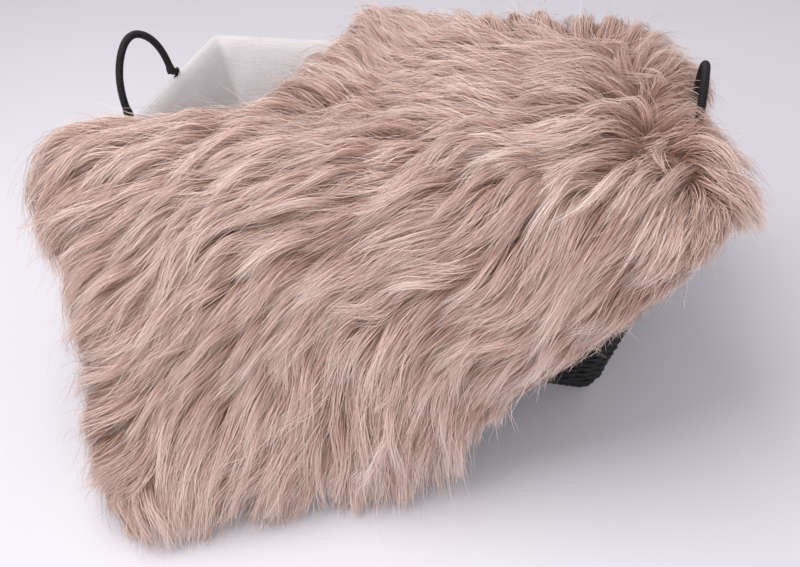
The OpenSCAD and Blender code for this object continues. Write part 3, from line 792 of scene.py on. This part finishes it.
class Skin:
    """The pile side of the throw's backing, as a surface that hairs can be rooted on and laid along."""

    def __init__(self, backing, pile):
        """Keeps the backing's faces that have the pile node's solid right above them, and rounds them."""
        above = BVHTree.FromPolygons(*mesh_lists(pile))
        verts, faces = mesh_lists(backing)
        solid = bmesh.new()
        for v in verts:
            solid.verts.new(v)
        solid.verts.ensure_lookup_table()
        for f in faces:
            solid.faces.new([solid.verts[i] for i in f])
        bmesh.ops.remove_doubles(solid, verts=solid.verts, dist=0.05 * MM)
        solid.normal_update()
        bare = []
        for face in solid.faces:
            start = face.calc_center_median() + face.normal * 0.05 * MM
            if above.ray_cast(start, face.normal, 1.0 * MM)[0] is None:
                bare.append(face)
        bmesh.ops.delete(solid, geom=bare, context="FACES")
        bmesh.ops.join_triangles(solid, faces=solid.faces, angle_face_threshold=0.8,
                                 angle_shape_threshold=3.1)
        holder = bpy.data.objects.new("skin", bpy.data.meshes.new("skin"))
        solid.to_mesh(holder.data)
        solid.free()
        bpy.context.collection.objects.link(holder)
        smooth_by_modifier(holder, 2)
        mesh = holder.data
        bpy.data.objects.remove(holder)
        self.points = np.array([v.co for v in mesh.vertices])
        self.normals = np.array([v.normal for v in mesh.vertices])
        self.faces = [list(p.vertices) for p in mesh.polygons]
        self.tree = BVHTree.FromPolygons([Vector(p) for p in self.points], self.faces)
        used = {}
        for p in mesh.polygons:
            for key in p.edge_keys:
                used[key] = used.get(key, 0) + 1
        self.edges = [key for key, count in used.items() if count == 1]
        self.edge_points = self.points[sorted({i for key in self.edges for i in key})]

    def edge_distance(self, points):
        """Distance from each point to the nearest edge of the cloth."""
        batch = 2000
        return np.concatenate([
            np.linalg.norm(points[start:start + batch, None] - self.edge_points[None], axis=2).min(1)
            for start in range(0, len(points), batch)])

    def scatter(self, spacing, seed):
        """Root points and normals about spacing apart, no two closer than 0.7 of it."""
        rng = np.random.default_rng(seed)
        triangles = []
        for f in self.faces:
            triangles += [(f[0], f[1], f[2]), (f[0], f[2], f[-1])][:len(f) - 2]
        triangles = np.array(triangles)
        a, b, c = (self.points[triangles[:, k]] for k in range(3))
        areas = np.linalg.norm(np.cross(b - a, c - a), axis=1) / 2
        count = int(3.2 * areas.sum() / spacing ** 2)
        pick = rng.choice(len(triangles), count, p=areas / areas.sum())
        r1, r2 = np.sqrt(rng.random(count)), rng.random(count)
        weights = np.stack([1 - r1, r1 * (1 - r2), r1 * r2], 1)[:, :, None]
        points = (np.stack([a[pick], b[pick], c[pick]], 1) * weights).sum(1)
        normals = unit((self.normals[triangles[pick]] * weights).sum(1))
        kept, cells = [], {}
        for i, p in enumerate(points):
            x, y, z = np.floor(p / spacing).astype(int)
            close = [k for cell in itertools.product((x - 1, x, x + 1), (y - 1, y, y + 1), (z - 1, z, z + 1))
                     for k in cells.get(cell, ())]
            if all(np.sum((points[k] - p) ** 2) > (0.7 * spacing) ** 2 for k in close):
                kept.append(i)
                cells.setdefault((x, y, z), []).append(i)
        return points[kept], normals[kept]


def combed(point):
    """The way that hair lies at a point, from the comb strokes near it."""
    gap = ((comb_places - point) ** 2).sum(1)
    weight = 1 / (gap + (20 * MM) ** 2) ** 2
    return Vector((comb_ways * weight[:, None]).sum(0) / weight.sum())


def swirl(point):
    """A slow turn of the comb's direction from place to place, in radians."""
    return 0.65 * noise.noise(point * 13) + 0.40 * noise.noise(point * 34 + Vector((5, 1, 2)))


def zone_shares(point):
    """The shares of length, lift and droop at a point, from the zones near it."""
    shares = np.ones(3)
    for line, reach, *values in ZONES:
        line = np.array(line, float) * MM
        start, run = line[:-1], line[1:] - line[:-1]
        f = np.clip(((point - start) * run).sum(1) / (run ** 2).sum(1), 0, 1)
        gap = np.linalg.norm(start + f[:, None] * run - point, axis=1).min() / (reach * MM)
        near = max(0.0, 1 - gap) ** 1.3
        shares *= 1 + near * (np.array(values) - 1)
    return shares


def off_basket(joint):
    """Moves a free joint that has sunk into the basket's walls back to their outside."""
    z = joint.z
    if z > RIM_H + 6 * MM:
        return
    wall_x, wall_y = half_l(z) + 5 * MM, half_w(z) + 5 * MM
    deep_x, deep_y = wall_x - abs(joint.x), wall_y - abs(joint.y)
    if 0 < min(deep_x, deep_y) <= 24 * MM:
        if deep_x < deep_y:
            joint.x = math.copysign(wall_x, joint.x)
        else:
            joint.y = math.copysign(wall_y, joint.y)


def grow(skin, root, normal, length, lift, twist, wave, droop, rng):
    """The joints of one guide hair: it rises from the root, lies along the skin and hangs past an edge."""
    step = length / SEGMENTS
    on_skin, normal = Vector(root), Vector(normal)
    joints, normals = [on_skin], [normal]
    heading = None
    free = False
    phase = rng.uniform(0, 6.28)
    turns = rng.uniform(2.5, 5.5)
    for k in range(1, SEGMENTS + 1):
        t = k / SEGMENTS
        if not free:
            way = combed(np.array(on_skin))
            way = (way - way.dot(normal) * normal).normalized()
            turn = swirl(on_skin) * droop + twist + wave * math.sin(phase + t * turns)
            way = Matrix.Rotation(turn, 3, normal) @ way
            heading = way if heading is None else (heading * 0.4 + way * 0.6).normalized()
            heading = (heading - heading.dot(normal) * normal).normalized()
            rise = lift * (1 - (1 - min(1, t * 1.9)) ** 2) * (1 - 0.35 * max(0, t - 0.5) * 2)
            target = on_skin + heading * step * (0.55 if k == 1 else 0.95)
            near, near_normal, _, _ = skin.tree.find_nearest(target)
            aside = target - near
            aside -= aside.dot(near_normal) * near_normal
            free = aside.length > 1.5 * MM
        if free:
            heading = (heading + Vector((0, 0, -0.42 * droop))).normalized()
            joint = joints[-1] + heading * step
            off_basket(joint)
        else:
            if near_normal.dot(normal) < 0:
                near_normal = -near_normal
            on_skin, normal = near, (normal * 0.3 + near_normal * 0.7).normalized()
            joint = on_skin + near_normal * rise
        if joint.z < FLOOR_CLEAR:
            joint.z = FLOOR_CLEAR + 1.5 * MM * rng.random()
        joints.append(joint)
        normals.append(normal)
    return [tuple(j) for j in joints], [tuple(n) for n in normals]


def ribbons(paths, normals, width, shade, roll):
    """Arrays for a mesh of tapered flat hairs: verts, quads, tip triangles and their OFBake coordinates.

    paths is (hairs, joints, 3); normals are the directions that the hairs' flat sides face.
    """
    hairs, joints, _ = paths.shape
    ahead = np.gradient(paths, axis=1)
    ahead /= np.linalg.norm(ahead, axis=2, keepdims=True) + 1e-12
    across = np.cross(ahead, normals)
    across /= np.linalg.norm(across, axis=2, keepdims=True) + 1e-12
    facing = np.cross(across, ahead)
    across = across * np.cos(roll)[:, None, None] + facing * np.sin(roll)[:, None, None]
    t = np.linspace(0, 1, joints)
    taper = (0.8 + 0.2 * np.minimum(t * 4, 1)) * (1 - 0.6 * t ** 2)
    half = 0.5 * width[:, None] * taper[None, :]
    left = paths[:, :-1] - across[:, :-1] * half[:, :-1, None]
    right = paths[:, :-1] + across[:, :-1] * half[:, :-1, None]
    body = np.stack([left, right], 2).reshape(hairs, -1, 3)
    verts = np.concatenate([body, paths[:, -1:]], 1)
    per = verts.shape[1]
    base = (np.arange(hairs) * per)[:, None]
    k = np.arange(joints - 2)[None, :] * 2
    quads = np.stack([base + k, base + k + 1, base + k + 3, base + k + 2], -1).reshape(-1, 4)
    last = (joints - 2) * 2
    tips = np.concatenate([base + last, base + last + 1, base + last + 2], 1)
    v = np.concatenate([np.repeat(t[:-1], 2), [1.0]])
    uv = np.stack([np.broadcast_to(shade[:, None], (hairs, per)), np.broadcast_to(v, (hairs, per))], -1)
    return verts.reshape(-1, 3), quads, tips, uv.reshape(-1, 2)


def hair_object(name, verts, quads, tips, uv, material):
    """A mesh object from ribbons()' arrays."""
    mesh = bpy.data.meshes.new(name)
    loops = np.concatenate([quads.ravel(), tips.ravel()]).astype(np.int32)
    sizes = np.concatenate([np.full(len(quads), 4), np.full(len(tips), 3)])
    starts = np.concatenate([[0], np.cumsum(sizes)[:-1]]).astype(np.int32)
    mesh.vertices.add(len(verts))
    mesh.vertices.foreach_set("co", verts.astype(np.float32).ravel())
    mesh.loops.add(len(loops))
    mesh.loops.foreach_set("vertex_index", loops)
    mesh.polygons.add(len(sizes))
    mesh.polygons.foreach_set("loop_start", starts)
    mesh.update(calc_edges=True)
    mesh.polygons.foreach_set("use_smooth", np.ones(len(sizes), bool))
    layer = mesh.uv_layers.new(name="OFBake")
    layer.data.foreach_set("uv", uv[loops].astype(np.float32).ravel())
    mesh.materials.append(material)
    piece = bpy.data.objects.new(name, mesh)
    bpy.context.collection.objects.link(piece)
    return piece


def guides(skin, roots, normals, spread, rng):
    """Guide hairs from those roots: their joints, and the skin's normal below each joint."""
    paths, facing = [], []
    for root, normal, gap in zip(roots, normals, skin.edge_distance(roots)):
        rim = min(1, gap / (45 * MM))
        long, high, droop = zone_shares(root)
        length = PILE_LENGTH * rng.uniform(0.72, 1.14) * long
        lift = PILE_SPREAD * rng.uniform(0.08, 1.2) * (0.4 + 0.6 * rim) * high
        twist, wave = rng.normal(0, spread), rng.uniform(0.05, 0.26)
        joints, ways = grow(skin, root, normal, length, lift, twist, wave, droop, rng)
        paths.append(joints)
        facing.append(ways)
    return np.array(paths), np.array(facing)


def strand_paths(skin, rng):
    """Every hair's joints and facing, its tuft, each tuft's lock and root, and each hair's painted shade,
    darker the lower it lies.

    Hairs gather into tufts, and tufts into locks, towards their tips. A few are wild and stand out of them.
    """
    lock_roots, lock_normals = skin.scatter(LOCKS_APART, 1)
    tuft_roots, tuft_normals = skin.scatter(TUFTS_APART, 2)
    lock_paths, _ = guides(skin, lock_roots, lock_normals, 0.17, rng)
    tuft_paths, tuft_facing = guides(skin, tuft_roots, tuft_normals, 0.13, rng)
    tufts = len(tuft_roots)
    flat = np.array([min(1.0, zone_shares(root)[1]) for root in tuft_roots])
    lock = np.array([((lock_roots - r) ** 2).sum(1).argmin() for r in tuft_roots])
    s = np.linspace(0, 1, SEGMENTS + 1)
    pull = rng.uniform(0.35, 0.97, (tufts, 1, 1)) * s[None, :, None] ** 1.25
    tuft_paths = tuft_paths + (lock_paths[lock] - tuft_paths) * pull

    strands = int(STRANDS / tufts)
    count = tufts * strands
    tuft = np.repeat(np.arange(tufts), strands)
    side = unit(np.cross(tuft_facing[:, 0], rng.normal(size=(tufts, 3))))
    other = np.cross(tuft_facing[:, 0], side)
    radius = TUFT_R * np.sqrt(rng.random(count))
    turn = rng.uniform(0, TURN, count)
    offset = (side[tuft] * np.cos(turn)[:, None] + other[tuft] * np.sin(turn)[:, None]) * radius[:, None]
    depth = rng.normal(0, TUFT_DEPTH, count)
    stretch = rng.uniform(0.66, 1.08, count)
    clump = rng.uniform(0.3, 1.0, count)
    wild = rng.random(count) < WILD_SHARE
    clump[wild] = rng.uniform(-1.4, 0.2, wild.sum())
    paths = np.empty((count, SEGMENTS + 1, 3))
    for k in range(SEGMENTS + 1):
        place = np.clip(s[k] * stretch * SEGMENTS, 0, SEGMENTS - 1e-6)
        low = place.astype(int)
        f = (place - low)[:, None]
        at = tuft_paths[tuft, low] * (1 - f) + tuft_paths[tuft, low + 1] * f
        gather = 1 - clump * s[k] ** 1.1
        bulge = depth * min(1, 3 * s[k]) * (1 - 0.5 * s[k])
        paths[:, k] = at + offset * gather[:, None] + tuft_facing[tuft, low] * bulge[:, None]
    jitter = rng.normal(0, 1, (count, 2, 3)) * (np.where(wild, 5.5, 2.2) * MM)[:, None, None]
    flare = np.where(rng.random(tufts) < 0.2, rng.uniform(0, 14 * MM, tufts), 0)[tuft]
    flare = (flare + np.where(wild, rng.exponential(6 * MM, count), 0)) * flat[tuft]
    paths += tuft_facing[tuft] * (flare[:, None] * s ** 1.5)[:, :, None]
    paths += jitter[:, :1] * (s ** 2)[None, :, None] + jitter[:, 1:] * np.sin(s * 5)[None, :, None] * 0.35
    rise = ((tuft_paths[:, 4] - tuft_paths[:, 0]) * tuft_facing[:, 0]).sum(1) / PILE_SPREAD
    # Painted shade: hairs of low tufts and hairs deep in a tuft are made darker, as if shadowed by the hair
    # above them.
    height = 0.16 * (rise[tuft] - 0.45) + 0.09 * depth / TUFT_DEPTH
    return paths, tuft_facing[tuft], tuft, lock, tuft_roots, height


def grow_pile(skin, material):
    """All the hair, in bands that stay small enough to export whole. Low hairs are painted darker,
    as shade deep in the pile.
    """
    rng = np.random.default_rng(11)
    paths, facing, tuft, lock, tuft_roots, height = strand_paths(skin, rng)
    low, high = np.array(cad_box[0]), np.array(cad_box[1])
    spare = 0.03 * (high - low) + 7 * MM    # how far past the CAD box a hair may reach
    low -= spare
    low[2] = FLOOR_CLEAR
    paths = np.clip(paths, low, high + spare)
    count = len(paths)
    width = rng.uniform(0.30, 0.62, count) * MM
    lock_shade = rng.normal(0, 0.15, lock.max() + 1)[lock]
    tuft_shade = lock_shade + rng.normal(0, 0.09, len(tuft_roots))
    # shade holds the random tone of locks, tufts and hairs and, through height, painted shade: the lower a
    # hair lies, the darker.
    shade = np.clip(0.41 + tuft_shade[tuft] + height + rng.normal(0, 0.17, count), 0.01, 0.99)
    roll = rng.normal(0, 0.7, count)
    run = -tuft_roots[:, 1] + np.where(tuft_roots[:, 1] < 0, 1, -1) * (RIM_H - tuft_roots[:, 2])
    order = np.argsort(run, kind="stable")
    pieces = []
    for number, band in enumerate(np.array_split(order, BANDS)):
        chosen = np.isin(tuft, band)
        arrays = ribbons(paths[chosen], facing[chosen], width[chosen], shade[chosen], roll[chosen])
        pieces.append(hair_object(f"pile_band_{number + 1:02d}", *arrays, material))
    return pieces


def edge_fuzz(skin, material):
    """Broken white fibres that stand out of the cut edge of the knitted ground, most where it is bare."""
    rng = np.random.default_rng(5)
    centre = {}
    for face in skin.faces:
        middle = skin.points[face].mean(0)
        for i in face:
            centre.setdefault(i, middle)
    paths, facing = [], []
    for i, j in skin.edges:
        start, end = skin.points[i], skin.points[j]
        gap = 0.22 * MM if zone_shares(start)[0] < 0.45 else 1.6 * MM
        for _ in range(rng.poisson(np.linalg.norm(end - start) / gap)):
            root = start + (end - start) * rng.random()
            out = unit(root - centre[i])
            way = unit(out * rng.uniform(0.2, 1.0) + rng.normal(0, 0.5, 3))
            bend = rng.normal(0, 0.5, 3)
            reach = rng.uniform(1.5, 5.5) * MM
            root = root - out * 1.2 * MM - skin.normals[i] * rng.uniform(0, 2.0) * MM
            paths.append([root + way * reach * f + bend * reach * f * f for f in np.linspace(0, 1, 5)])
            facing.append([skin.normals[i]] * 5)
    count = len(paths)
    width = rng.uniform(0.3, 0.5, count) * MM
    arrays = ribbons(np.array(paths), np.array(facing), width, rng.random(count),
                     rng.uniform(0, math.pi, count))
    return hair_object("edge_fuzz", *arrays, material)


def loose_threads(material):
    """Two strips of backing that have pulled loose at the cut edge and hang from it."""
    parts = []
    for start, reach, radius in (((259, -153, 203), (5, 2, -37), 1.0),
                                 ((250, -152, 190), (-3, 0, -33), 0.5)):
        line = [(Vector(start) + Vector(reach) * f + Vector((1.5 * math.sin(5 * f), 0, 0))) * MM
                for f in np.linspace(0, 1, 12)]
        parts.append(tube(line, radius * MM, 6))
    return make_joined("loose_threads", parts, material)


def build_throw():
    """The knitted ground of the throw, its pile, the fuzz of its cut edge, and its loose threads."""
    skin = Skin(nodes["throw_backing"], nodes["throw_pile"])
    cloth = knit()
    # The ground's pile side takes the dark sheet of painted shade seen between the locks; its back and rim
    # take the knit.
    ground = make_object("knit_ground", skin.points, skin.faces, painted_pile_shade())
    ground.data.materials.append(cloth)
    thicken(ground, 2.0 * MM, -1, rim_material=1)
    pile = grow_pile(skin, pile_material())
    fringe = [edge_fuzz(skin, white_fuzz()), loose_threads(cloth)]
    for piece in pile:
        fit(piece, "throw", "pile")
    for piece in fringe:
        fit(piece, "throw", "knit_backing")
    fit(ground, "throw", "knit_backing", "throw_backing")
    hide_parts("throw_pile")


# ---- the scene

bpy.context.scene.view_settings.view_transform = "Standard"
add_camera((0.21906, -0.76024, 0.65604), math.radians(17.26), math.radians(38.07), math.radians(4.29), 42.7)
set_world((0.95, 0.94, 1.0), 0.54)
add_light("key", 1.2, 17, (-0.44, -0.3, 1.5), (0, -0.08, 0.1), (1.0, 0.985, 0.975))
add_light("front_fill", 1.0, 8.2, (0.5, -1.6, 1.1), (0.05, -0.1, 0.15))
FAR = 6    # metres from the middle of the floor to its edges
corners = [(-FAR, -FAR, 0), (FAR, -FAR, 0), (FAR, FAR, 0), (-FAR, FAR, 0)]
make_object("floor", corners, [(0, 1, 2, 3)], floor_material())

build_basket()
linen = woven_cloth("linen", (0.56, 0.52, 0.53), (0.78, 0.745, 0.75), 1.1 * MM)
build_liner(linen)
build_cushion(woven_cloth("padding_cotton", (0.62, 0.58, 0.55), (0.80, 0.77, 0.74), 0.9 * MM))
build_throw()
